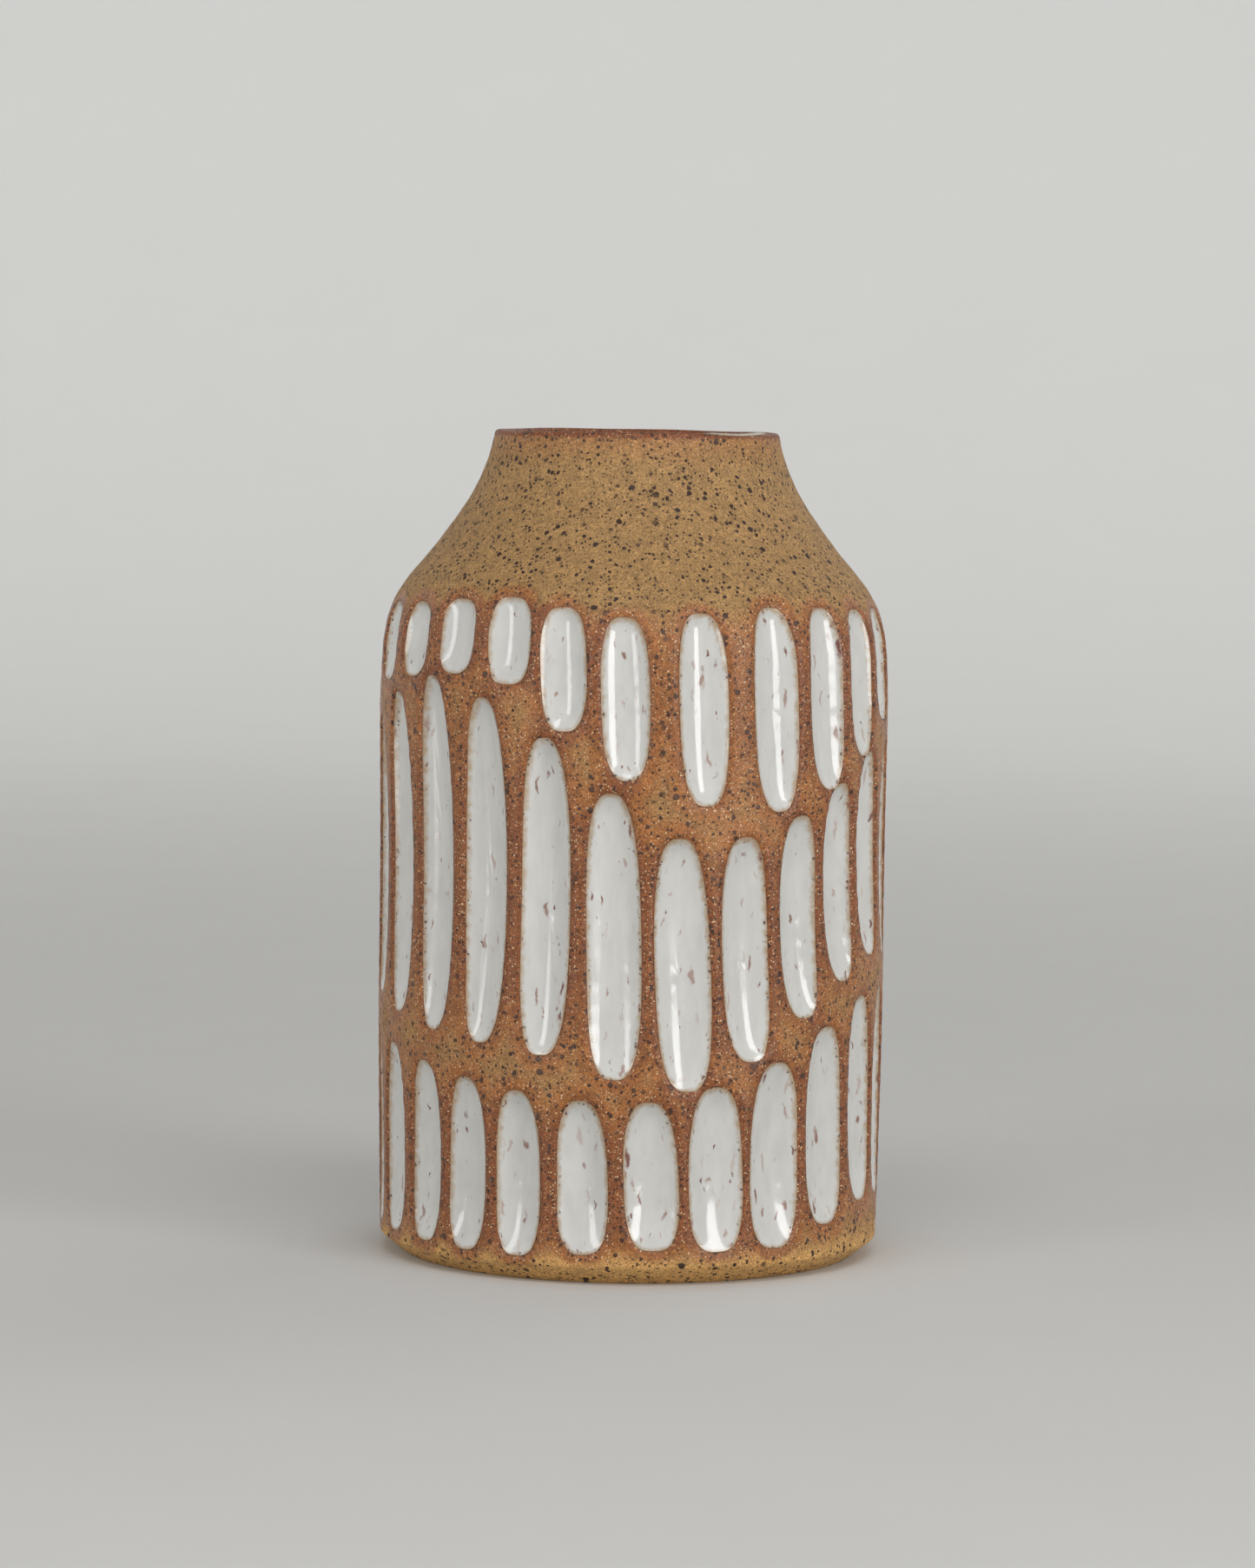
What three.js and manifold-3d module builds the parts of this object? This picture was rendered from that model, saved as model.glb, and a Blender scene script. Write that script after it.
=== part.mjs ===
// A wheel-thrown stoneware vase with three rows of carved scoops, each filled with white glaze.
//
// Millimetres, +Z up. The origin is the middle of the underside of the foot, and the Z axis is the axis on
// which the vase was thrown. The front is the -Y side. Azimuths are in degrees, counted from the front
// towards +X.

import * as THREE from 'three';
import { mergeVertices } from 'three/addons/utils/BufferGeometryUtils.js';
import Module from 'manifold-3d';

const wasm = await Module();
wasm.setup();

// ---------------------------------------------------------------- driving dimensions

const HEIGHT = 178;
const FOOT_RADIUS = 49;
const RIM_RADIUS = 30.9;
const RIM_WALL = 3.6;
const LIP_ROUNDING = 1;
const WALL = 6.2;
const STRAIGHT_WALL_TOP = 123;
const FLOOR = 8;
const FLOOR_CORNER_RADIUS = 11;

// The glaze keeps this far from the clay that holds it.
const GLAZE_GAP = 0.3;
const LINER_THICKNESS = 0.7;
const LINER_BELOW_LIP = 1.2;

// The outside of the wall, from the top of the foot's bevel to just under the lip, as [radius, height].
const OUTSIDE_POINTS = [
  [54.1, 3.9],
  [54.5, 20],
  [54.9, 50],
  [54.9, 90],
  [55.1, 122],
  [54.2, 135.5],
  [50.6, 144],
  [43, 153.5],
  [36, 163.5],
  [32.4, 171.3],
  [RIM_RADIUS, HEIGHT - LIP_ROUNDING],
];

// Each row is 24 scoops, numbered from the front towards +X. A list holds a value for every second scoop,
// starting with the first, and the scoops between take theirs from a smooth curve through the list: the
// heights of the upper and lower ends, the width, the drift from even spacing in degrees, and the lean in
// degrees, which is positive where the upper end lies further round. An end's number is the power of the
// superellipse that it follows.
const SCOOPS_PER_ROW = 24;
const ROWS = [
  {
    name: 'upper',
    firstAzimuth: 0,
    top: [140.5, 142.5, 141.5, 141, 142, 143, 142, 141, 140.5, 141, 142, 144],
    bottom: [105.7, 99, 109.5, 122, 118, 107, 103, 111, 119, 122, 125.5, 125],
    width: [11.1, 12, 11, 11.4, 11.8, 12, 11.6, 11.2, 11.8, 11.2, 10.4, 11.1],
    drift: [-1.9, 3.6, 3.2, 1.2, 0.4, -0.6, 0.5, -0.8, 0.3, -0.5, 0, 0.3],
    lean: [-2, -2.1, -2, -2.2, -1.5, -2.4, -1, -2, -3, -2.6, -3.6, -3.6],
    bow: 0.9,
    depth: 3.2,
    upperEnd: 2.6,
    lowerEnd: 2.7,
    widestAt: 0.53,
  },
  {
    name: 'middle',
    firstAzimuth: 11.5,
    top: [94.7, 98.8, 111, 113.5, 108, 100, 99, 108, 113.5, 116.5, 127, 115.2],
    bottom: [40.7, 55, 66.5, 62, 52, 47, 50, 57, 60, 56, 51, 47.8],
    width: [12.6, 11, 10.8, 11.6, 12, 12.2, 11.8, 12, 11.6, 11, 10.8, 11.9],
    drift: [0.2, 0, -3.2, -2, 0.4, 0.8, -0.5, 0.2, -1, -2.5, -2.3, -1.6],
    lean: [-2.8, -2.2, -3, -2, -1, -2, -1.4, -2.4, -2, -1.2, -1.2, 0],
    bow: 2.2,
    depth: 3.5,
    upperEnd: 2.4,
    lowerEnd: 2.8,
    widestAt: 0.44,
  },
  {
    name: 'lower',
    firstAzimuth: 5,
    top: [39.5, 47, 59, 57, 46.5, 41.5, 42.5, 48.5, 53, 49.5, 45, 41],
    bottom: [7.2, 6.8, 13.8, 12, 7, 5.5, 7, 5.5, 6.5, 6, 5.6, 5.2],
    width: [12.4, 13.3, 12, 12, 12.4, 12.8, 12.2, 12.6, 12, 11.4, 10.8, 11.2],
    drift: [0.1, 0.1, 0.8, 0.2, -0.7, 0.5, 0.9, -0.4, 0.3, 1, 1.7, -0.7],
    lean: [-2.4, -0.2, -2.8, -1.5, -2.6, -2, -1, -2.4, -1.8, -0.8, 0, -0.3],
    bow: 0.9,
    depth: 3.4,
    upperEnd: 2.3,
    lowerEnd: 2.8,
    widestAt: 0.42,
  },
];

// A scoop also bows sideways, most at its middle, and towards this azimuth from either side of it.
const BOW_TOWARDS = 6;

// The glaze lies in a scoop as a hollow skin. Its open side dips by this share of the scoop's depth.
const GLAZE_DISH = 0.72;

// The scoops between these azimuths, at the back, are carved, but their inlays have no node of their own.
const FIRST_BARE_AZIMUTH = 146;
const LAST_BARE_AZIMUTH = 214;

// How finely the round shapes are faceted.
const CLAY_SEGMENTS = 48;
const OUTSIDE_STEPS = 20;
const INSIDE_STEPS = 7;
const CORNER_STEPS = 3;
const SCOOP_SEGMENTS = 12;
const SCOOP_RINGS = 4;

// ---------------------------------------------------------------- materials

function clayMaterial() {
  return new THREE.MeshStandardMaterial({ color: 0xb0803f, roughness: 0.75, metalness: 0 });
}

function whiteGlazeMaterial() {
  return new THREE.MeshStandardMaterial({ color: 0xd8d6d0, roughness: 0.12, metalness: 0 });
}

function linerGlazeMaterial() {
  return new THREE.MeshStandardMaterial({ color: 0xcfd2c6, roughness: 0.2, metalness: 0 });
}

// ---------------------------------------------------------------- the wall's outline

const outsideCurve = new THREE.SplineCurve(OUTSIDE_POINTS.map(([r, z]) => new THREE.Vector2(r, z)));
const outsideSamples = outsideCurve.getPoints(400);

// Radius of the uncarved outside at a height.
function outsideRadius(z) {
  const above = outsideSamples.findIndex((p) => p.y >= z);
  if (above <= 0) return outsideSamples[above === 0 ? 0 : outsideSamples.length - 1].x;
  const low = outsideSamples[above - 1];
  const high = outsideSamples[above];
  return THREE.MathUtils.mapLinear(z, low.y, high.y, low.x, high.x);
}

// The outside from the foot bevel up to just under the lip. The nearly straight wall below the shoulder
// needs only every second step of the curve.
function outsideOutline() {
  const points = outsideCurve.getPoints(OUTSIDE_STEPS).slice(0, -1);
  return points.filter((point, step) => point.y > STRAIGHT_WALL_TOP || step % 2 === 0);
}

// Thickness of the wall at a height: even up to the shoulder, then thinner up to the lip.
function wallThickness(z) {
  const curvedZ = Math.max(z, STRAIGHT_WALL_TOP);
  return THREE.MathUtils.mapLinear(curvedZ, STRAIGHT_WALL_TOP, HEIGHT, WALL, RIM_WALL);
}

// Points on a quarter or half circle in the [radius, height] plane, angles in quarter turns.
function arcPoints(centreR, centreZ, radius, fromQuarter, toQuarter) {
  const points = [];
  for (let i = 0; i <= CORNER_STEPS; i += 1) {
    const angle = THREE.MathUtils.lerp(fromQuarter, toQuarter, i / CORNER_STEPS) * (Math.PI / 2);
    points.push(new THREE.Vector2(centreR + radius * Math.cos(angle), centreZ + radius * Math.sin(angle)));
  }
  return points;
}

// The hollow's outline from the lip's inner edge down to the middle of the floor, moved in by an offset.
function hollowOutline(offset, topZ) {
  const points = [];
  const cornerZ = FLOOR + FLOOR_CORNER_RADIUS;
  for (let i = 0; i <= INSIDE_STEPS; i += 1) {
    // The squared step puts more points into the curved neck than into the straight wall.
    const z = topZ - (topZ - cornerZ) * (i / INSIDE_STEPS) ** 1.4;
    points.push(new THREE.Vector2(outsideRadius(z) - wallThickness(z) - offset, z));
  }
  const wallRadius = outsideRadius(cornerZ) - WALL;
  const centreR = wallRadius - FLOOR_CORNER_RADIUS;
  const corner = arcPoints(centreR, cornerZ, FLOOR_CORNER_RADIUS - offset, 0, -1);
  points.push(...corner.slice(1));
  points.push(new THREE.Vector2(0, FLOOR + offset));
  return points;
}

// ---------------------------------------------------------------- solids

// A lathe turns its profile about Y, so it is stood up to turn about Z. The positions alone are kept and
// shared vertices merged, which closes the surface.
function closedFromLathe(profile, segments) {
  const lathe = new THREE.LatheGeometry(profile, segments);
  lathe.rotateX(Math.PI / 2);
  return closedGeometry(lathe);
}

function closedGeometry(geometry) {
  geometry.deleteAttribute('normal');
  geometry.deleteAttribute('uv');
  return mergeVertices(geometry, 1e-4);
}

function solidFrom(geometry) {
  const vertProperties = new Float32Array(geometry.attributes.position.array);
  const triVerts = new Uint32Array(geometry.index.array);
  return new wasm.Manifold(new wasm.Mesh({ numProp: 3, vertProperties, triVerts }));
}

function geometryFrom(solid) {
  const { vertProperties, triVerts } = solid.getMesh();
  const geometry = new THREE.BufferGeometry();
  geometry.setAttribute('position', new THREE.BufferAttribute(vertProperties, 3));
  geometry.setIndex(new THREE.BufferAttribute(triVerts, 1));
  geometry.computeVertexNormals();
  return geometry;
}

// ---------------------------------------------------------------- the carved scoops

// A scoop's own value from a list that names every second scoop of the row.
function valueForScoop(list, scoopIndex) {
  const listed = (k) => list[THREE.MathUtils.euclideanModulo(Math.floor(scoopIndex / 2) + k, list.length)];
  if (scoopIndex % 2 === 0) return listed(0);
  return (9 * (listed(0) + listed(1)) - listed(-1) - listed(2)) / 16;
}

// The scoops of a row: azimuth and lean in degrees, everything else in millimetres.
function scoopsOf(row) {
  const scoops = [];
  for (let i = 0; i < SCOOPS_PER_ROW; i += 1) {
    const evenAzimuth = row.firstAzimuth + (i * 360) / SCOOPS_PER_ROW;
    scoops.push({
      row,
      evenAzimuth,
      name: `${row.name}_inlay_${String(i + 1).padStart(2, '0')}`,
      azimuth: evenAzimuth + valueForScoop(row.drift, i),
      lean: valueForScoop(row.lean, i),
      top: valueForScoop(row.top, i),
      bottom: valueForScoop(row.bottom, i),
      width: valueForScoop(row.width, i),
      bow: -row.bow * Math.sin(THREE.MathUtils.degToRad(evenAzimuth - BOW_TOWARDS)),
    });
  }
  return scoops;
}

// Half the width of a scoop at a share of its height, from 0 at the lower end to 1 at the upper end, as a
// share of its half width. The two ends are superellipses of their own fullness.
function outlineShare(row, share) {
  const lower = share < row.widestAt;
  const reach = lower ? row.widestAt : 1 - row.widestAt;
  const power = lower ? row.lowerEnd : row.upperEnd;
  const along = Math.min(Math.abs(share - row.widestAt) / reach, 1);
  return (1 - along ** power) ** (1 / power);
}

// A lens wrapped onto the wall, from a sphere whose poles point into and out of the clay. Its inner half is
// the scooped hollow, shrunk by a margin. Its outer half stands out from the wall by a height, or dips into
// it where that is negative.
function lensGeometry(scoop, margin, outerHeight) {
  const { row } = scoop;
  const length = scoop.top - scoop.bottom;
  const halfWidth = scoop.width / 2 - margin;
  const shrink = 1 - (2 * margin) / length;
  const widestZ = scoop.bottom + length * row.widestAt;
  const slant = Math.tan(THREE.MathUtils.degToRad(scoop.lean));
  const lens = new THREE.SphereGeometry(1, SCOOP_SEGMENTS, SCOOP_RINGS);
  // Half a step of turn gives the ends a short edge in place of a point, and the stretch brings that edge
  // out to the end of the scoop.
  lens.rotateY(Math.PI / SCOOP_SEGMENTS);
  const stretch = 1 / Math.cos(Math.PI / SCOOP_SEGMENTS);
  const geometry = closedGeometry(lens);
  const position = geometry.attributes.position;
  for (let i = 0; i < position.count; i += 1) {
    // Seen from outside, azimuth runs the other way from the sphere's X, so that faces keep pointing out.
    const u = -position.getX(i);
    const v = position.getZ(i);
    const n = position.getY(i);
    const fromMiddle = Math.hypot(u, v);
    const edgeU = fromMiddle > 1e-6 ? Math.abs(u) / fromMiddle : 1;
    const edgeV = fromMiddle > 1e-6 ? v / fromMiddle : 0;
    const reach = length * (v < 0 ? row.widestAt : 1 - row.widestAt);
    const edgeShare = (widestZ + edgeV * reach - scoop.bottom) / length;
    const z = widestZ + v * reach * shrink * stretch;
    const share = (z - scoop.bottom) / length;
    const sideways = scoop.bow * 4 * share * (1 - share) + slant * (z - (scoop.top + scoop.bottom) / 2);
    const across = (u / edgeU) * outlineShare(row, edgeShare) * halfWidth + sideways;
    const outward = n < 0 ? n * (row.depth - margin) : n * outerHeight;
    const radius = outsideRadius(z);
    const azimuth = THREE.MathUtils.degToRad(scoop.azimuth) + across / radius;
    position.setXYZ(i, (radius + outward) * Math.sin(azimuth), -(radius + outward) * Math.cos(azimuth), z);
  }
  return geometry;
}

// ---------------------------------------------------------------- the pieces

// Foot, wall, shoulder, neck and lip: one thrown lump of clay, with every scoop carved out of it.
function stonewareBody(scoops) {
  const lipZ = HEIGHT - LIP_ROUNDING;
  const lipOuterCentre = RIM_RADIUS - LIP_ROUNDING;
  const lipInnerCentre = RIM_RADIUS - RIM_WALL + LIP_ROUNDING;
  const profile = [
    new THREE.Vector2(0, 0),
    new THREE.Vector2(FOOT_RADIUS, 0),
    ...outsideOutline(),
    ...arcPoints(lipOuterCentre, lipZ, LIP_ROUNDING, 0, 1),
    ...arcPoints(lipInnerCentre, lipZ, LIP_ROUNDING, 1, 2),
    ...hollowOutline(0, lipZ).slice(1),
  ];
  const cutAbove = 2;
  let solid = solidFrom(closedFromLathe(profile, CLAY_SEGMENTS));
  for (const scoop of scoops) {
    solid = solid.subtract(solidFrom(lensGeometry(scoop, 0, cutAbove)));
  }
  return namedMesh('stoneware_body', geometryFrom(solid), clayMaterial());
}

// The glaze inside: a thin cup from the floor up to the lip.
function linerGlaze() {
  const topZ = HEIGHT - LINER_BELOW_LIP;
  const outer = hollowOutline(GLAZE_GAP, topZ).reverse();
  const inner = hollowOutline(GLAZE_GAP + LINER_THICKNESS, topZ);
  return namedMesh('liner_glaze', closedFromLathe([...outer, ...inner], CLAY_SEGMENTS), linerGlazeMaterial());
}

// The white glaze in one scoop.
function glazeInlay(scoop) {
  const geometry = lensGeometry(scoop, GLAZE_GAP, -GLAZE_DISH * scoop.row.depth);
  return namedMesh(scoop.name, geometry, whiteGlazeMaterial());
}

function namedMesh(name, geometry, material) {
  const mesh = new THREE.Mesh(geometry, material);
  mesh.name = name;
  return mesh;
}

function hasNode(scoop) {
  return scoop.evenAzimuth < FIRST_BARE_AZIMUTH || scoop.evenAzimuth > LAST_BARE_AZIMUTH;
}

function stonewareVase() {
  const scoops = ROWS.flatMap(scoopsOf);
  const vase = new THREE.Group();
  vase.add(stonewareBody(scoops));
  vase.add(linerGlaze());
  for (const scoop of scoops.filter(hasNode)) {
    vase.add(glazeInlay(scoop));
  }
  return vase;
}

export default stonewareVase();
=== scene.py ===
"""A hand-thrown stoneware vase, carved with three rows of upright scoops that hold white glaze.

Lengths are millimetres and angles are degrees until place() turns them into the frame's metres.
Azimuth is counted from the front, -Y, towards +X.
"""

import math

import bpy
import numpy as np
from mathutils import Matrix, Vector


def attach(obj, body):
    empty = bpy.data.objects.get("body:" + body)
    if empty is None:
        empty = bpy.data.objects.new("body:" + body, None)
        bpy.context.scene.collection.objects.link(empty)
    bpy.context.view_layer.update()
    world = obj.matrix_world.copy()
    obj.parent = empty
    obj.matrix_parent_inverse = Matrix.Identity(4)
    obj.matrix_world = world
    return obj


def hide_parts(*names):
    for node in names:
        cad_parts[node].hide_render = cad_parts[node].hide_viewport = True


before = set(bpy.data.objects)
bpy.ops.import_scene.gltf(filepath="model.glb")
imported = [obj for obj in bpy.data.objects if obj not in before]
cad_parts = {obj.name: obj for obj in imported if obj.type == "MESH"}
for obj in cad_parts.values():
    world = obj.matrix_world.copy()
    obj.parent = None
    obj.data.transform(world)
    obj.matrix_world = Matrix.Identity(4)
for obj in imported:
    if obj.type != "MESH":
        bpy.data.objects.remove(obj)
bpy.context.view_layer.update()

MM = 0.001

# ---------------------------------------------------------------- the vase's sizes

HEIGHT = 178
FOOT_RADIUS = 49
RIM_RADIUS = 30.9
RIM_WALL = 3.6
LIP_ROUNDING = 1
WALL = 6.2
STRAIGHT_WALL_TOP = 123
FLOOR = 8
FLOOR_CORNER_RADIUS = 11

# The outside of the wall, from the top of the foot's bevel to just under the lip, as (radius, height).
OUTSIDE_POINTS = [
    (54.1, 3.9),
    (54.5, 20),
    (54.9, 50),
    (54.9, 90),
    (55.1, 122),
    (54.2, 135.5),
    (50.6, 144),
    (43, 153.5),
    (36, 163.5),
    (32.4, 171.3),
    (RIM_RADIUS, HEIGHT - LIP_ROUNDING),
]

# The foot's bevel with its worn edges, and the flat underside, as (radius, height).
FOOT_PROFILE = [
    (54.1, 4.4),
    (54, 3.95),
    (53.7, 3.6),
    (52.6, 2.75),
    (51, 1.55),
    (49.8, 0.62),
    (49.35, 0.3),
    (FOOT_RADIUS, 0.1),
    (48.6, 0),
    (44, 0),
    (30, 0),
    (12, 0),
]

SCOOPS_PER_ROW = 24
BOW_TOWARDS = 6

# The rows of scoops. A list holds a value for every second scoop, and those between lie on a smooth curve.
# drift: how many degrees a scoop stands from its even place.
# lean: how many degrees it is tilted.
# bow: how far the middle of a scoop is bent, at the sides of the vase.
# lengthwise_curve: how much shallower the cut gets away from its deepest point.
# upper_end, lower_end: how blunt the ends are.
# widest_at: where a scoop is widest, as a share of its length.
ROWS = [
    {
        "name": "upper",
        "first_azimuth": 0,
        "top": [140.5, 142.5, 141.5, 141, 142, 143, 142, 141, 140.5, 141, 142, 144],
        "bottom": [105.7, 99, 109.5, 122, 118, 107, 103, 111, 119, 122, 125.5, 125],
        "width": [11.1, 12, 11, 11.4, 11.8, 12, 11.6, 11.2, 11.8, 11.2, 10.4, 11.1],
        "drift": [-1.9, 3.6, 3.2, 1.2, 0.4, -0.6, 0.5, -0.8, 0.3, -0.5, 0, 0.3],
        "lean": [-2, -2.1, -2, -2.2, -1.5, -2.4, -1, -2, -3, -2.6, -3.6, -3.6],
        "bow": 0.9,
        "depth": 3.0,
        "lengthwise_curve": 0.9,
        "upper_end": 2.9,
        "lower_end": 2.8,
        "widest_at": 0.53,
    },
    {
        "name": "middle",
        "first_azimuth": 11.5,
        "top": [94.7, 98.8, 111, 113.5, 108, 100, 99, 108, 113.5, 116.5, 127, 115.2],
        "bottom": [40.7, 55, 66.5, 62, 52, 47, 50, 57, 60, 56, 51, 47.8],
        "width": [12.6, 11, 10.8, 11.6, 12, 12.2, 11.8, 12, 11.6, 11, 10.8, 11.9],
        "drift": [0.2, 0, -3.2, -2, 0.4, 0.8, -0.5, 0.2, -1, -2.5, -2.3, -1.6],
        "lean": [-2.8, -2.2, -3, -2, -1, -2, -1.4, -2.4, -2, -1.2, -1.2, 0],
        "bow": 2.2,
        "depth": 3.3,
        "lengthwise_curve": 1.3,
        "upper_end": 2.9,
        "lower_end": 3.0,
        "widest_at": 0.44,
    },
    {
        "name": "lower",
        "first_azimuth": 5,
        "top": [39.5, 47, 59, 57, 46.5, 41.5, 42.5, 48.5, 53, 49.5, 45, 41],
        "bottom": [7.2, 6.8, 13.8, 12, 7, 5.5, 7, 5.5, 6.5, 6, 5.6, 5.2],
        "width": [12.4, 13.3, 12, 12, 12.4, 12.8, 12.2, 12.6, 12, 11.4, 10.8, 11.2],
        "drift": [0.1, 0.1, 0.8, 0.2, -0.7, 0.5, 0.9, -0.4, 0.3, 1, 1.7, -0.7],
        "lean": [-2.4, -0.2, -2.8, -1.5, -2.6, -2, -1, -2.4, -1.8, -0.8, 0, -0.3],
        "bow": 0.9,
        "depth": 3.2,
        "lengthwise_curve": 1.8,
        "upper_end": 2.75,
        "lower_end": 3.0,
        "widest_at": 0.42,
    },
]

# ---------------------------------------------------------------- how the surfaces meet

# A scoop's corner with the wall: how steep it is, and over what depth it is rounded.
LIP_SLOPE = 0.6
LIP_SOFTNESS = 0.22

# How steeply a cut goes in at its ends, how round it is from side to side, and where it is deepest.
UPPER_RAMP_SLOPE = 1.0
LOWER_RAMP_SLOPE = 0.78
SIDE_POWER = 0.88
DEEPEST_AT = 0.58

# The glaze ends a little inside its scoop, stands just proud of the cut and hides a lower bed in the clay.
GLAZE_INSET = 0.35
GLAZE_STANDS = 0.09
GLAZE_THICKNESS = 0.5
GLAZE_BACK = -0.3
BED_STARTS = 0.1
BED_SLOPE_WIDTH = 0.9

# Rings of an inlay, as shares of its outline: outwards over its face, then inwards again under it.
FACE_SCALES = [0.12, 0.28, 0.42, 0.55, 0.66, 0.75, 0.83, 0.89, 0.935, 0.965]
BACK_SCALES = [0.97, 0.85, 0.5, 0.15]

# Distances to the glaze are measured no further than this.
EDGE_RANGE = 9

# The liner leaves the wall's plain inside at a height and then follows the lip's section.
LINER_THICKNESS = 0.45
LINER_PATH_START = 173.5
LINER_ENDS_BELOW_LIP = 1.6
LINER_SHARES = (0, 0.25, 0.45, 0.6, 0.72, 0.82, 0.9, 0.96, 1)

# Where the liner runs over the lip, how far it gets, and how far the lip sinks there.
SPILL_AZIMUTH = 50
SPILL_HALF_WIDTH = 21
SPILL_EDGE_WIDTH = 1.6
SPILL_REACH = 5.3
LIP_DIP = 0.5

# How far the thrown wall strays from a circle, and the lip from a level ring.
OVAL = 0.16
THREE_SIDED = 0.09
THROWING_RING = 0.035
LIP_TILT = 0.12
LIP_RIPPLE = 0.06
LIP_SHIFT_FROM = 164
LIP_SHIFT_OVER = 12

CLAY_COLUMNS = 480
CARVED_ROW_STEP = 1.0
NECK_ROW_STEP = 1.5
LINER_COLUMNS = 240
OUTLINE_POINTS = 88

rng = np.random.default_rng(11)


# ---------------------------------------------------------------- the wall's shape


def sample_spline(points, steps=400):
    """Points along the Catmull-Rom curve that the CAD part follows."""
    p = np.array(points, float)
    t = np.linspace(0, len(p) - 1, steps + 1)
    i = np.minimum(t.astype(int), len(p) - 2)
    w = (t - i)[:, None]
    before, start, end, after = p[np.maximum(i - 1, 0)], p[i], p[i + 1], p[np.minimum(i + 2, len(p) - 1)]
    leave = (end - before) / 2
    arrive = (after - start) / 2
    cubic = 2 * start - 2 * end + leave + arrive
    square = 3 * end - 3 * start - 2 * leave - arrive
    return cubic * w**3 + square * w**2 + leave * w + start


OUTSIDE = sample_spline(OUTSIDE_POINTS)


def outside_radius(z):
    return np.interp(z, OUTSIDE[:, 1], OUTSIDE[:, 0])


def wall_thickness(z):
    return np.interp(z, [STRAIGHT_WALL_TOP, HEIGHT], [WALL, RIM_WALL])


def turn_from(azimuth, middle):
    """Degrees from one azimuth to another, between -180 and 180."""
    return (azimuth - middle + 180) % 360 - 180


def hand_wobble(azimuth, z):
    """How far the thrown wall strays from a true circle: slightly out of round, with a spiral of rings."""
    a = np.radians(azimuth)
    oval = OVAL * np.sin(2 * a + 0.8) + THREE_SIDED * np.sin(3 * a + 2.1 + z / 45)
    rings = THROWING_RING * np.sin(z * 1.35 + a + 0.8 * np.sin(z / 9))
    return oval + rings


def lip_shift(azimuth, z):
    """How far the lip rises or sinks at an azimuth. The shift fades out down the neck."""
    a = np.radians(azimuth)
    dip = -LIP_DIP * np.exp(-((turn_from(azimuth, SPILL_AZIMUTH) / SPILL_HALF_WIDTH) ** 2))
    uneven = LIP_TILT * np.sin(2 * a + 0.4) + LIP_RIPPLE * np.sin(7 * a)
    return (dip + uneven) * np.clip((z - LIP_SHIFT_FROM) / LIP_SHIFT_OVER, 0, 1) ** 2


def place(radius, azimuth, z):
    """Points in the frame, in metres."""
    a = np.radians(azimuth)
    radius, a, z = np.broadcast_arrays(radius, a, z)
    return np.stack([radius * np.sin(a), -radius * np.cos(a), z], -1) * MM


# ---------------------------------------------------------------- the scoops


def value_for_scoop(values, index):
    """The listed value of an even scoop, or the value between two listed ones for an odd scoop."""
    listed = [values[(index // 2 + k) % len(values)] for k in (-1, 0, 1, 2)]
    if index % 2 == 0:
        return listed[1]
    return (9 * (listed[1] + listed[2]) - listed[0] - listed[3]) / 16


def scoops_of(row):
    """The scoops of a row, each a dict of its own sizes and its row's."""
    scoops = []
    for i in range(SCOOPS_PER_ROW):
        even = row["first_azimuth"] + i * 360 / SCOOPS_PER_ROW
        scoop = dict(row)
        scoop["name"] = f"{row['name']}_inlay_{i + 1:02d}"
        scoop["azimuth"] = even + value_for_scoop(row["drift"], i)
        for key in ("lean", "top", "bottom", "width"):
            scoop[key] = value_for_scoop(row[key], i)
        scoop["length"] = scoop["top"] - scoop["bottom"]
        scoop["bow"] = -row["bow"] * math.sin(math.radians(even - BOW_TOWARDS))
        scoops.append(scoop)
    return scoops


def share_up(scoop, z):
    """How far up a scoop a height lies, from 0 at its lower end to 1 at its upper end."""
    return (z - scoop["bottom"]) / scoop["length"]


def outline_share(scoop, z):
    """Half width of a scoop at a height, as a share of its widest."""
    share = share_up(scoop, z)
    widest = scoop["widest_at"]
    lower = share < widest
    power = np.where(lower, scoop["lower_end"], scoop["upper_end"])
    along = np.abs(share - widest) / np.where(lower, widest, 1 - widest)
    return (1 - np.clip(along, 0, 1) ** power) ** (1 / power)


def centreline(scoop, z):
    """How far to the side a scoop's middle lies at a height."""
    share = np.clip(share_up(scoop, z), -0.2, 1.2)
    slant = math.tan(math.radians(scoop["lean"]))
    return scoop["bow"] * 4 * share * (1 - share) + slant * scoop["length"] * (share - 0.5)


def signed_power(value, power):
    """A power of a value's size, with the value's sign."""
    return np.sign(value) * np.abs(value) ** power


def outline(scoop, inset, scale, wander=0.0):
    """A closed outline of a scoop as (across, z), moved in by an inset and shrunk to a scale."""
    turn = np.linspace(0, 2 * np.pi, OUTLINE_POINTS, endpoint=False)
    lower = np.sin(turn) < 0
    power = np.where(lower, scoop["lower_end"], scoop["upper_end"])
    reach = np.where(lower, scoop["widest_at"], 1 - scoop["widest_at"]) * scoop["length"] - inset
    across = signed_power(np.cos(turn), 2 / power) * (scoop["width"] / 2 - inset + wander)
    along = signed_power(np.sin(turn), 2 / power) * (reach + wander)
    z = scoop["bottom"] + scoop["widest_at"] * scoop["length"] + along * scale
    return across * scale + centreline(scoop, z), z


def distance_to_outline(across, z, loop_across, loop_z):
    """Distance from each point to a closed outline."""
    start = np.stack([loop_across, loop_z], -1)
    edge = np.roll(start, -1, axis=0) - start
    point = np.stack([across, z], -1)[:, None, :]
    along = ((point - start) * edge).sum(-1) / np.maximum((edge**2).sum(-1), 1e-12)
    nearest = start + np.clip(along, 0, 1)[..., None] * edge
    return np.sqrt(((point - nearest) ** 2).sum(-1)).min(1)


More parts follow.
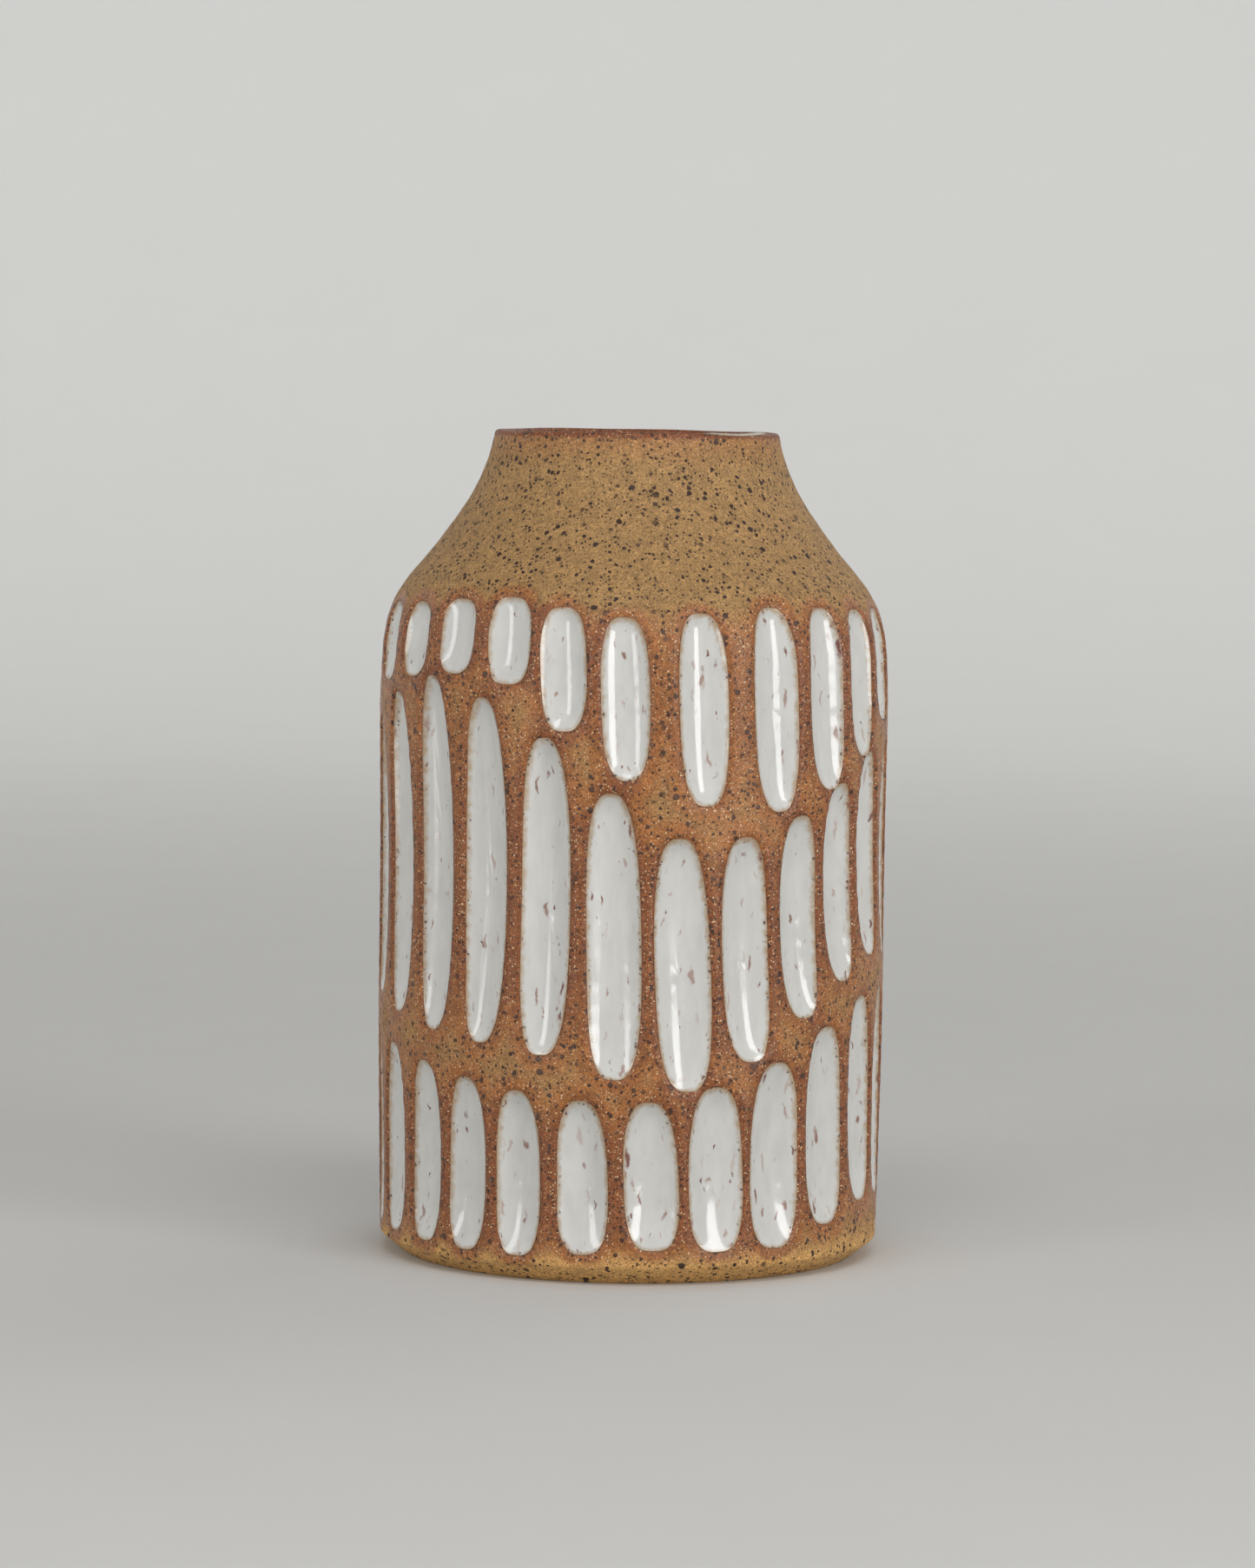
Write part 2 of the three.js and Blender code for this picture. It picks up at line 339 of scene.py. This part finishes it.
def soften(depth):
    """Rounds the corner where a carved surface comes out through the wall."""
    return LIP_SOFTNESS * np.logaddexp(0, depth / LIP_SOFTNESS)


def ramp(distance, slope, depth):
    """Share of a depth that a cut of a slope has reached at a distance from its end."""
    reached = np.maximum(distance, 0) * slope / depth
    return reached / (1 + reached**3) ** (1 / 3)


def raw_depth(scoop, across, z):
    """Depth of a scoop inside its outline, before its lip is rounded. It is 0 beside the scoop."""
    depth, length = scoop["depth"], scoop["length"]
    half_width = np.maximum(outline_share(scoop, z), 0.02) * scoop["width"] / 2
    sideways = (across - centreline(scoop, z)) / half_width
    up = share_up(scoop, z)
    along = ramp(up * length, LOWER_RAMP_SLOPE, depth)
    along = along * ramp((1 - up) * length, UPPER_RAMP_SLOPE, depth)
    along = along * (1 - scoop["lengthwise_curve"] * (up - DEEPEST_AT) ** 2)
    return depth * along * np.maximum(1 - sideways**2, 0) ** SIDE_POWER


def carve(scoops, azimuth, z):
    """Depth of the carving at each point, and its distances to the nearest and second nearest glaze edges.
    A distance is negative under glaze."""
    depth = np.zeros(azimuth.shape)
    edge = np.full(azimuth.shape, float(EDGE_RANGE))
    second = edge.copy()
    for scoop in scoops:
        across = np.radians(turn_from(azimuth, scoop["azimuth"])) * outside_radius(z)
        reach = scoop["width"] / 2 + abs(scoop["bow"]) + EDGE_RANGE + 2
        low, high = scoop["bottom"] - EDGE_RANGE, scoop["top"] + EDGE_RANGE
        near = np.nonzero((np.abs(across) < reach) & (z > low) & (z < high))
        x, h = across[near], z[near]
        distance = distance_to_outline(x, h, *outline(scoop, 0, 1))
        inner = raw_depth(scoop, x, h)
        inside = (inner > 0) & (h > scoop["bottom"]) & (h < scoop["top"])
        signed = np.where(inside, -distance, distance) + GLAZE_INSET
        depth[near] += soften(np.where(inside, inner, -LIP_SLOPE * distance))
        second[near] = np.minimum(second[near], np.maximum(edge[near], signed))
        edge[near] = np.minimum(edge[near], signed)
    return depth, edge, second


# ---------------------------------------------------------------- meshes


def grid_mesh(name, rows, start=None, end=None, **attributes):
    """A mesh from rows of points that close on themselves, capped by a single point at either end.
    Faces point left of the way the rows run, as seen along the columns."""
    count, columns = rows.shape[:2]
    points = rows.reshape(-1, 3)
    index = np.arange(count * columns).reshape(count, columns)
    following = np.roll(index, -1, axis=1)
    quads = np.stack([index[:-1], index[1:], following[1:], following[:-1]], -1).reshape(-1, 4)
    faces = quads.tolist()
    values = {key: value.reshape(-1) for key, value in attributes.items()}
    for pole, ring, step in ((start, 0, 1), (end, count - 1, -1)):
        if pole is None:
            continue
        tip = len(points)
        points = np.vstack([points, pole])
        pairs = np.stack([index[ring], following[ring]], -1)[:, ::step]
        faces += [[tip, int(a), int(b)] for a, b in pairs]
        values = {key: np.append(value, value[index[ring, 0]]) for key, value in values.items()}
    mesh = bpy.data.meshes.new(name)
    mesh.from_pydata(points.tolist(), [], faces)
    for key, value in values.items():
        mesh.attributes.new(key, "FLOAT", "POINT").data.foreach_set("value", value.astype(np.float32))
    mesh.polygons.foreach_set("use_smooth", np.ones(len(mesh.polygons), bool))
    mesh.update()
    made = bpy.data.objects.new(name, mesh)
    bpy.context.scene.collection.objects.link(made)
    return made


def arc(centre_r, centre_z, radius, start, end, steps):
    """Points of an arc in the (radius, height) plane, its two ends left out."""
    angles = np.radians(np.linspace(start, end, steps + 2)[1:-1])
    return [(centre_r + radius * math.cos(a), centre_z + radius * math.sin(a)) for a in angles]


def hollow_profile():
    """The clay's inside, from beside the middle of the floor up to the lip."""
    corner_z = FLOOR + FLOOR_CORNER_RADIUS
    corner_r = outside_radius(corner_z) - WALL
    profile = [(12, FLOOR), (26, FLOOR)]
    profile += arc(corner_r - FLOOR_CORNER_RADIUS, corner_z, FLOOR_CORNER_RADIUS, -96, 6, 6)
    heights = [30, 60, 90, 115, 128, 136, 142, 147, 152, 157, 162, 167, 171, 174]
    heights.append(HEIGHT - LIP_ROUNDING - 0.5)
    profile += [(outside_radius(z) - wall_thickness(z), z) for z in heights]
    return profile


def lip_profile():
    """The rounded top of the lip, from its inner corner to its outer one."""
    lip_z = HEIGHT - LIP_ROUNDING
    inner = RIM_RADIUS - RIM_WALL + LIP_ROUNDING
    outer = RIM_RADIUS - LIP_ROUNDING
    profile = arc(inner, lip_z, LIP_ROUNDING, 190, 80, 4)
    profile += arc(outer, lip_z, LIP_ROUNDING, 100, -10, 5)
    return profile


def outside_profile():
    """The outside from the lip down to the bevel, with its rows closer together where it is carved."""
    neck = np.arange(HEIGHT - LIP_ROUNDING - 0.6, 146, -NECK_ROW_STEP)
    carved = np.arange(145.5, 4.8, -CARVED_ROW_STEP)
    return [(outside_radius(z), z) for z in np.concatenate([neck, carved])]


def clay_vase(scoops):
    """Foot, wall, shoulder, neck and lip in one skin, with every scoop carved into it."""
    inside = hollow_profile()
    outside = lip_profile() + outside_profile() + FOOT_PROFILE
    profile = np.array(inside + outside)
    azimuth = np.linspace(0, 360, CLAY_COLUMNS, endpoint=False)
    azimuth, z = np.meshgrid(azimuth, profile[:, 1])
    radius = np.repeat(profile[:, :1], CLAY_COLUMNS, axis=1)
    depth = np.zeros(z.shape)
    edge = np.full(z.shape, float(EDGE_RANGE))
    second = edge.copy()
    carved = slice(len(inside), None)
    depth[carved], edge[carved], second[carved] = carve(scoops, azimuth[carved], z[carved])
    # The clay lies lower under the glaze, so that only the glaze shows there.
    under = np.clip((-edge - BED_STARTS) / BED_SLOPE_WIDTH, 0, 1)
    depth += GLAZE_THICKNESS * under**2 * (3 - 2 * under)
    standing = np.clip(z / 5, 0, 1)
    radius = radius + hand_wobble(azimuth, z) * standing - depth
    rows = place(radius, azimuth, z + lip_shift(azimuth, z))
    foot_centre = place(0, 0, 0)
    floor_centre = place(0, 0, FLOOR)
    return grid_mesh("thrown_clay", rows, floor_centre, foot_centre, edge_mm=edge, gap_mm=edge + second)


def wandering(count, strength):
    """A smooth random value around an outline."""
    turn = np.linspace(0, 2 * np.pi, count, endpoint=False)
    total = np.zeros(count)
    for wave in range(2, 9):
        total += rng.normal() * np.sin(wave * turn + rng.uniform(0, 2 * np.pi)) / wave**0.7
    return total * strength


def glaze_inlay(scoop):
    """The glaze in one scoop: a dished sheet with a rounded edge that stands just proud of the clay."""
    wander = wandering(OUTLINE_POINTS, 0.06)
    edge_loop = outline(scoop, GLAZE_INSET, 1, wander)
    section = [(scale, GLAZE_STANDS) for scale in FACE_SCALES]
    section += [(0.985, GLAZE_STANDS * 0.9), (0.996, GLAZE_STANDS * 0.55), (1, -0.04), (0.995, GLAZE_BACK)]
    section += [(scale, GLAZE_BACK) for scale in BACK_SCALES]
    rows, edges = [], []
    for scale, lift in section:
        across, z = outline(scoop, GLAZE_INSET, scale, wander)
        azimuth = scoop["azimuth"] + np.degrees(across / outside_radius(z))
        depth = soften(raw_depth(scoop, across, z))
        radius = outside_radius(z) + hand_wobble(azimuth, z) - depth + lift
        rows.append(place(radius, azimuth, z))
        # The glaze ran down while it was molten, so its thin edge is wider at the top.
        above_middle = np.clip(share_up(scoop, z), 0.5, 1) - 0.5
        edges.append(distance_to_outline(across, z, *edge_loop) * (1 - 1.8 * above_middle**2))
    name = scoop["name"] + "_glaze"
    return grid_mesh(name, np.array(rows), rows[0].mean(0), rows[-1].mean(0), edge_mm=np.array(edges))


def lip_point(distance, offset):
    """A point at an offset from the lip's section. Distance runs up the inside to 0 and on over the lip."""
    lip_z = HEIGHT - LIP_ROUNDING
    inner = RIM_RADIUS - RIM_WALL + LIP_ROUNDING
    flat = RIM_WALL - 2 * LIP_ROUNDING
    quarter = LIP_ROUNDING * math.pi / 2
    turn = np.clip(distance, 0, quarter) + np.clip(distance - quarter - flat, 0, quarter)
    angle = np.pi - turn / LIP_ROUNDING
    out = LIP_ROUNDING + offset
    centre_r = inner + np.clip(distance - quarter, 0, flat)
    return centre_r + out * np.cos(angle), lip_z + out * np.sin(angle) + np.minimum(distance, 0)


def liner():
    """The glaze that lines the inside. It ends a little under the lip, and at one side it spills over."""
    azimuth = np.linspace(0, 360, LINER_COLUMNS, endpoint=False)
    away = np.abs(turn_from(azimuth, SPILL_AZIMUTH))
    spill = 1 / (1 + np.exp((away - SPILL_HALF_WIDTH) / SPILL_EDGE_WIDTH))
    end = -LINER_ENDS_BELOW_LIP + SPILL_REACH * spill + wandering(LINER_COLUMNS, 0.12)
    inside = [(r, z) for r, z in hollow_profile() if z < LINER_PATH_START]
    corner_z = FLOOR + FLOOR_CORNER_RADIUS
    rows, edges = [], []

    def add(radius, z, edge):
        wobble = hand_wobble(azimuth, z) * np.clip(z / 20, 0, 1)
        rows.append(place(radius + wobble, azimuth, z + lip_shift(azimuth, z)))
        edges.append(edge + 0 * azimuth)

    # Up the inner face, over the thin edge, and down again just inside the clay.
    for r, z in inside:
        lift = LINER_THICKNESS * np.clip((corner_z - z) / FLOOR_CORNER_RADIUS, 0, 1)
        add(r - LINER_THICKNESS * (z > FLOOR + 0.5), z + lift, EDGE_RANGE)
    start = LINER_PATH_START - (HEIGHT - LIP_ROUNDING)
    for share in LINER_SHARES:
        distance = start + (end - start) * share
        thickness = LINER_THICKNESS * (1 - 0.45 * share) * (1 - share**8) + 0.03
        radius, z = lip_point(distance, thickness)
        add(radius, z, end - distance)
    radius, z = lip_point(end - 0.05, -0.25)
    add(radius, z, 0.0)
    for r, z in inside[::-1]:
        add(r + 0.15, z, EDGE_RANGE)
    floor = place(0, 0, FLOOR + LINER_THICKNESS)
    under = place(0, 0, FLOOR - 0.1)
    return grid_mesh("liner_glaze_skin", np.array(rows), floor, under, edge_mm=np.array(edges))


# ---------------------------------------------------------------- materials


class Graph:
    """A short way to write a material's nodes. Sizes are in millimetres."""

    def __init__(self, name):
        self.material = bpy.data.materials.new(name)
        self.material.use_nodes = True
        self.tree = self.material.node_tree
        self.shader = self.tree.nodes["Principled BSDF"]
        coordinates = self.tree.nodes.new("ShaderNodeTexCoord")
        self.position = self.scaled(coordinates.outputs["Object"], (1 / MM,) * 3)

    def feed(self, socket, value):
        """Links an output to a socket, or sets the socket to a constant."""
        if isinstance(value, bpy.types.NodeSocket):
            self.tree.links.new(value, socket)
        else:
            socket.default_value = value

    def node(self, kind, inputs, **settings):
        made = self.tree.nodes.new(kind)
        for key, value in settings.items():
            setattr(made, key, value)
        for key, value in inputs.items():
            self.feed(made.inputs[key], value)
        return made

    def math(self, operation, a, b=0.0, clamp=False):
        made = self.node("ShaderNodeMath", {0: a, 1: b}, operation=operation, use_clamp=clamp)
        return made.outputs[0]

    def times(self, a, b):
        return self.math("MULTIPLY", a, b)

    def larger(self, a, b):
        return self.math("MAXIMUM", a, b)

    def scaled(self, vector, scale, offset=(0, 0, 0)):
        """A vector times a scale and moved."""
        inputs = {0: vector, 1: scale, 2: offset}
        return self.node("ShaderNodeVectorMath", inputs, operation="MULTIPLY_ADD").outputs[0]

    def rise(self, value, start, end, low=0.0, high=1.0):
        """Goes smoothly from low to high as the value goes from start to end."""
        inputs = {0: value, 1: start, 2: end, 3: low, 4: high}
        return self.node("ShaderNodeMapRange", inputs, interpolation_type="SMOOTHSTEP").outputs[0]

    def noise(self, vector, size, detail=2.0, roughness=0.5):
        """Clouds of a size, from 0 to 1."""
        inputs = {"Vector": vector, "Scale": 1 / size, "Detail": detail, "Roughness": roughness}
        return self.node("ShaderNodeTexNoise", inputs).outputs[0]

    def spread(self, value, width, lowest):
        """A value from 0 to 1, spread over a width that starts at the lowest."""
        inputs = {0: value, 1: width, 2: lowest}
        return self.node("ShaderNodeMath", inputs, operation="MULTIPLY_ADD").outputs[0]

    def blend(self, factor, a, b, mode="MIX"):
        inputs = {0: factor, 6: a, 7: b}
        made = self.node("ShaderNodeMix", inputs, data_type="RGBA", blend_type=mode)
        return made.outputs[2]

    def attribute(self, name):
        return self.node("ShaderNodeAttribute", {}, attribute_name=name).outputs["Fac"]

    def height(self):
        return self.node("ShaderNodeSeparateXYZ", {0: self.position}).outputs[2]

    def shaken(self, vector, size, reach):
        """A vector with small random bends, which make round specks ragged."""
        inputs = {"Vector": vector, "Scale": 1 / size, "Detail": 1.0}
        colour = self.node("ShaderNodeTexNoise", inputs).outputs[1]
        return self.scaled(colour, (2 * reach,) * 3, self.scaled(vector, (1, 1, 1), (-reach,) * 3))

    def specks(self, vector, cell, radius, share, offset, crispness=4.0):
        """Specks up to a radius, in a share of the cells of a size, as their mask and a random number."""
        shifted = self.scaled(vector, (1, 1, 1), (offset, offset * 1.7, offset * 0.6))
        cells = self.node("ShaderNodeTexVoronoi", {"Vector": shifted, "Scale": 1 / cell})
        channels = self.node("ShaderNodeSeparateColor", {0: cells.outputs["Color"]})
        chance = channels.outputs[0]
        smallest = 0.4 * radius / cell
        inputs = {0: chance, 1: 1 - share, 2: 1.0, 3: smallest, 4: radius / cell}
        size = self.node("ShaderNodeMapRange", inputs).outputs[0]
        depth = self.math("SUBTRACT", size, cells.outputs["Distance"])
        mask = self.math("MULTIPLY", depth, crispness * cell / radius, clamp=True)
        chosen = self.math("GREATER_THAN", chance, 1 - share)
        return self.times(mask, chosen), channels.outputs[1]

    def bump(self, height, distance, normal=None):
        """A bump whose full height is a distance in millimetres."""
        inputs = {"Strength": 1.0, "Distance": distance * MM, "Height": height}
        if normal is not None:
            inputs["Normal"] = normal
        return self.node("ShaderNodeBump", inputs).outputs[0]

    def finish(self, **sockets):
        for key, value in sockets.items():
            self.feed(self.shader.inputs[key.replace("_", " ")], value)
        return self.material


# Clay: bare, fluxed by the glaze nearby, burnt beside it, and paler at the foot, partly with painted light
# bounced from the floor. Then its grains with their painted glints, and its specks.
TAN = (0.352, 0.2, 0.073, 1)
ORANGE = (0.35, 0.13, 0.032, 1)
RUST = (0.21, 0.06, 0.016, 1)
BUFF_AND_PAINTED_BOUNCE = (0.59, 0.335, 0.112, 1)
PAINTED_GLINT = (0.8, 0.56, 0.32, 1)
IRON = (0.028, 0.008, 0.004, 1)
SLATE = (0.034, 0.017, 0.016, 1)

# Glaze: thick, and thin over the clay at its edge. Then the clay line round it and the iron in it.
WHITE = (0.66, 0.655, 0.63, 1)
WARM_EDGE = (0.4, 0.25, 0.11, 1)
CREAM = (0.43, 0.42, 0.33, 1)
CREAM_EDGE = (0.36, 0.25, 0.13, 1)
RIM_LINE = (0.2, 0.085, 0.03, 1)
FAINT_STREAK = (0.48, 0.21, 0.12, 1)
STRONG_STREAK = (0.15, 0.03, 0.016, 1)
BRISTLE = (0.07, 0.03, 0.025, 1)

# Each size of speck or streak: spacing, largest radius, share of places that hold one, and a shift.
SPECKS = [(2.5, 0.78, 0.55, 11.0), (1.4, 0.54, 0.72, 29.0), (0.85, 0.33, 0.55, 47.0)]
STREAKS = [(1.6, 0.6, 0.5, 5.0), (1.1, 0.33, 0.32, 17.0)]


def clay_flux(g, level, edge):
    """How far the clay is fluxed: among the scoops, right beside the glaze, and a little near the lip."""
    among_scoops = g.times(g.rise(level, 144.0, 136.0), g.rise(level, 3.0, 9.0))
    among_scoops = g.times(among_scoops, g.rise(edge, 6.0, 2.0, 0.3, 1.0))
    near_lip = g.times(g.rise(level, 170.0, 178.0), 0.6)
    return g.larger(g.larger(among_scoops, near_lip), g.rise(edge, 3.4, 1.2))


def clay_burn(g):
    """How far the clay is burnt: in a halo round the glaze, in narrow gaps, and along the lip."""
    uneven = g.spread(g.noise(g.position, 2.4, 3.0, 0.65), 5.0, -2.2)
    beside = g.math("ADD", g.attribute("edge_mm"), uneven)
    halo = g.times(g.rise(beside, 2.6, 0.0), 0.5)
    narrow = g.rise(g.math("ADD", g.attribute("gap_mm"), uneven), 8.5, 4.0)
    narrow = g.times(narrow, g.rise(beside, 4.5, 1.0, 0.0, 0.88))
    lip_line = g.rise(g.height(), 176.4, 177.2)
    return g.larger(g.larger(halo, narrow), lip_line)


def clay_tone(g):
    """Light and dark of the bare clay, in patches, in flecks and in grains."""
    mottle = g.rise(g.noise(g.position, 3.0, 3.0, 0.6), 0.25, 0.75, 0.86, 1.12)
    coarse = g.rise(g.noise(g.position, 0.9, 3.0, 0.75), 0.3, 0.7, 0.8, 1.2)
    grain = g.rise(g.noise(g.position, 0.36, 2.0, 0.6), 0.28, 0.72, 0.62, 1.4)
    tone = g.times(mottle, g.times(coarse, grain))
    return g.node("ShaderNodeCombineColor", {0: tone, 1: tone, 2: tone}).outputs[0]


def add_iron_specks(g, colour, ragged, fluxed):
    """Dark specks of every size over a colour. Returns the colour and where the specks are."""
    dark = None
    strength = g.rise(fluxed, 0.0, 1.0, 0.98, 0.84)
    for cell, radius, share, offset in SPECKS:
        mask, chance = g.specks(ragged, cell, radius, share, offset, 6.0)
        mask = g.times(mask, g.rise(g.noise(g.position, 4.0 * cell, 2.0), 0.38, 0.5, 0.7, 1.0))
        speck_colour = g.blend(g.rise(chance, 0.55, 0.75), IRON, SLATE)
        colour = g.blend(g.times(mask, strength), colour, speck_colour)
        dark = mask if dark is None else g.larger(dark, mask)
    return colour, dark


def clay_material():
    """Speckled stoneware: matt tan where it is bare, paler at the foot partly with painted floor light, and
    rusty with glassy grains among the scoops, their glints painted as bright dots.
    """
    g = Graph("speckled_stoneware")
    ragged = g.shaken(g.position, 0.45, 0.17)
    drift = g.spread(g.noise(g.position, 9.0, 3.0), 4.0, -2.0)
    edge = g.math("ADD", g.attribute("edge_mm"), drift)
    level = g.math("ADD", g.height(), drift)
    fluxed = clay_flux(g, level, edge)
    # Paler towards the foot: partly the clay's own colour, partly painted light bounced up from the floor.
    colour = g.blend(g.rise(level, 11.0, 4.0), TAN, BUFF_AND_PAINTED_BOUNCE)
    colour = g.blend(fluxed, colour, ORANGE)
    colour = g.blend(clay_burn(g), colour, RUST)
    colour = g.blend(1.0, colour, clay_tone(g), "MULTIPLY")

    # Painted highlights: bright dots on the glassy grains stand in for their glints; the same grains also
    # get a lower roughness.
    painted_glints, chance = g.specks(ragged, 0.5, 0.23, 0.9, 3.0)
    glassy_grains_and_painted_glints = g.times(painted_glints, g.rise(fluxed, 0.0, 1.0, 0.3, 1.0))
    colour = g.blend(g.times(glassy_grains_and_painted_glints, g.rise(chance, 0.2, 1.0, 0.1, 0.95)), colour, PAINTED_GLINT)
    colour, dark = add_iron_specks(g, colour, ragged, fluxed)

    roughness = g.rise(fluxed, 0.0, 1.0, 0.72, 0.38)
    roughness = g.math("SUBTRACT", roughness, g.times(glassy_grains_and_painted_glints, 0.28))
    fine = g.bump(g.noise(g.position, 0.42, 2.0, 0.6), 0.13)
    pebbled = g.bump(g.noise(g.position, 1.1, 2.0), 0.12, fine)
    pitted = g.bump(dark, 0.05, pebbled)
    return g.finish(Base_Color=colour, Roughness=roughness, Normal=pitted)


def glaze_body(g, edge, body, edge_colour):
    """Colour of the glaze itself: cloudy, warm where it is thin, and with a clay line round it."""
    cloud = g.rise(g.noise(g.scaled(g.position, (1, 1, 0.35)), 2.6, 3.0), 0.25, 0.8)
    shade = tuple(channel * 0.9 for channel in body[:3]) + (1,)
    waver = g.times(g.noise(g.position, 1.6, 2.0), 1.3)
    thin = g.rise(g.math("SUBTRACT", edge, waver), 0.4, -0.7)
    colour = g.blend(cloud, body, shade)
    colour = g.blend(g.times(thin, 0.85), colour, edge_colour)
    return g.blend(g.rise(edge, 0.22, 0.02, 0.0, 0.7), colour, RIM_LINE)


def add_iron_streaks(g, colour, edge, share_of_streaks):
    """Streaks of iron that have run down in the glaze, and dark bristles in clusters along its edge."""
    ragged = g.shaken(g.position, 0.5, 0.2)
    slanted = g.shaken(ragged, 3.0, 1.3)
    drawn_out = g.scaled(slanted, (1, 1, 0.22))
    for cell, radius, share, offset in STREAKS:
        mask, chance = g.specks(drawn_out, cell, radius, share * share_of_streaks, offset, 2.4)
        tint = g.blend(chance, FAINT_STREAK, STRONG_STREAK)
        colour = g.blend(g.times(mask, g.rise(chance, 0.1, 1.0, 0.2, 0.95)), colour, tint)
    bristles, _ = g.specks(ragged, 0.95, 0.46, 0.62, 31.0)
    bristles = g.times(bristles, g.rise(g.noise(g.position, 5.0, 2.0), 0.45, 0.6, 0.1, 1.0))
    bristles = g.times(bristles, g.rise(edge, 1.0, 0.4))
    return g.blend(g.times(bristles, 0.85), colour, BRISTLE)


def glaze_material(name, body, edge_colour, share_of_streaks, roughness):
    """Glossy glaze that thins to a warm line at its edge, with iron in it."""
    g = Graph(name)
    edge = g.attribute("edge_mm")
    colour = glaze_body(g, edge, body, edge_colour)
    colour = add_iron_streaks(g, colour, edge, share_of_streaks)
    matt = g.rise(g.noise(g.position, 3.5, 2.0), 0.3, 0.8, roughness, roughness + 0.06)
    waves = g.bump(g.noise(g.scaled(g.position, (1, 1, 0.6)), 4.0, 1.0), 0.035)
    pores = g.bump(g.noise(g.position, 0.5, 1.0), 0.004, waves)
    g.shader.inputs["IOR"].default_value = 1.6
    g.shader.inputs["Specular IOR Level"].default_value = 0.7
    return g.finish(Base_Color=colour, Roughness=matt, Normal=pores)


def stage_material():
    """Pale paper that glows a little far from the vase."""
    g = Graph("pale_paper")
    fibre = g.noise(g.position, 60.0, 3.0)
    colour = g.blend(fibre, (0.655, 0.65, 0.635, 1), (0.685, 0.68, 0.665, 1))
    flat = g.scaled(g.position, (1, 1, 0))
    away = g.node("ShaderNodeVectorMath", {0: flat}, operation="LENGTH").outputs["Value"]
    glow = g.rise(away, 100.0, 2500.0, 0.0, 0.29)
    g.shader.inputs["Emission Color"].default_value = (1, 1, 0.985, 1)
    return g.finish(Base_Color=colour, Roughness=0.9, Emission_Strength=glow)


# ---------------------------------------------------------------- studio


FLOOR_REACH = 1500
BACKDROP_BEND = 1500
BACKDROP_TOP = 3200
BACKDROP_COLUMNS = 96


def backdrop():
    """A floor that bends up all round, far from the vase."""
    wall = FLOOR_REACH + BACKDROP_BEND
    profile = [(wall, BACKDROP_TOP), (wall, BACKDROP_BEND + 800)]
    profile += arc(FLOOR_REACH, BACKDROP_BEND, BACKDROP_BEND, 0, -90, 24)
    profile += [(FLOOR_REACH, 0), (600, 0), (200, 0)]
    azimuth = np.linspace(0, 360, BACKDROP_COLUMNS, endpoint=False)
    rows = np.array([place(r, azimuth, z) for r, z in profile])
    made = grid_mesh("studio_floor", rows[::-1], place(0, 0, 0))
    made.data.materials.append(stage_material())


def soft_light(name, azimuth, distance, height, aim_height, size, power):
    """A softbox that faces the vase's axis at a height. Lengths are metres and the power is watts."""
    lamp = bpy.data.lights.new(name, "AREA")
    lamp.shape = "RECTANGLE"
    lamp.size, lamp.size_y = size
    lamp.energy = power
    made = bpy.data.objects.new(name, lamp)
    bpy.context.scene.collection.objects.link(made)
    a = math.radians(azimuth)
    made.location = (math.sin(a) * distance, -math.cos(a) * distance, height)
    away = made.location - Vector((0, 0, aim_height))
    made.rotation_euler = away.to_track_quat("Z", "Y").to_euler()


def studio_lights():
    """Tall softboxes to either side, one overhead, a soft one behind and a faint even light."""
    soft_light("right_softbox", 46, 1.5, 0.49, 0.49, (0.5, 0.96), 7.0)
    soft_light("left_softbox", -44, 1.5, 0.49, 0.49, (0.38, 0.96), 3.5)
    soft_light("top_softbox", 4, 0.75, 1.15, 0.1, (0.85, 0.45), 4.4)
    soft_light("back_softbox", 138, 1.5, 1.5, 0.1, (1.0, 0.8), 2.8)
    world = bpy.data.worlds.new("studio_air")
    world.use_nodes = True
    air = world.node_tree.nodes["Background"]
    air.inputs["Color"].default_value = (0.97, 0.985, 1, 1)
    air.inputs["Strength"].default_value = 0.13
    bpy.context.scene.world = world
    bpy.context.scene.view_settings.view_transform = "Standard"


# The camera stands in front, a little above the vase, and looks slightly down. It is rolled a little.
CAMERA_DISTANCE = 1204
CAMERA_HEIGHT = 193.2
CAMERA_TILT = -4.36
CAMERA_TURN = -0.056
CAMERA_ROLL = 0.75
SENSOR_HEIGHT = 36
LENS = 127.6
SEES_TO_METRES = 20


def camera():
    made = bpy.data.objects.new("camera", bpy.data.cameras.new("camera"))
    bpy.context.scene.collection.objects.link(made)
    made.data.sensor_fit = "VERTICAL"
    made.data.sensor_height = SENSOR_HEIGHT
    made.data.lens = LENS
    made.data.clip_end = SEES_TO_METRES
    stands = Matrix.Translation(Vector((0, -CAMERA_DISTANCE, CAMERA_HEIGHT)) * MM)
    turned = Matrix.Rotation(math.radians(-CAMERA_TURN), 4, "Z")
    tilted = Matrix.Rotation(math.radians(90 + CAMERA_TILT), 4, "X")
    rolled = Matrix.Rotation(math.radians(CAMERA_ROLL), 4, "Z")
    made.matrix_world = stands @ turned @ tilted @ rolled
    bpy.context.scene.camera = made


# ---------------------------------------------------------------- the whole scene


def dress(piece, material, slot, *nodes):
    """Gives a piece its material and its place in the frame."""
    piece.data.materials.append(material)
    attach(piece, "root")
    if nodes:
        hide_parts(*nodes)


all_scoops = [scoop for row in ROWS for scoop in scoops_of(row)]
white = glaze_material("white_glaze", WHITE, WARM_EDGE, 1.0, 0.1)
cream = glaze_material("liner_glaze", CREAM, CREAM_EDGE, 0.5, 0.16)
dress(clay_vase(all_scoops), clay_material(), "stoneware", "stoneware_body")
dress(liner(), cream, "liner_glaze", "liner_glaze")
# A few inlays at the back have no node of their own in the frame.
for scoop in all_scoops:
    cad_nodes = [scoop["name"]] if scoop["name"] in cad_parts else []
    dress(glaze_inlay(scoop), white, "white_glaze", *cad_nodes)

backdrop()
studio_lights()
camera()
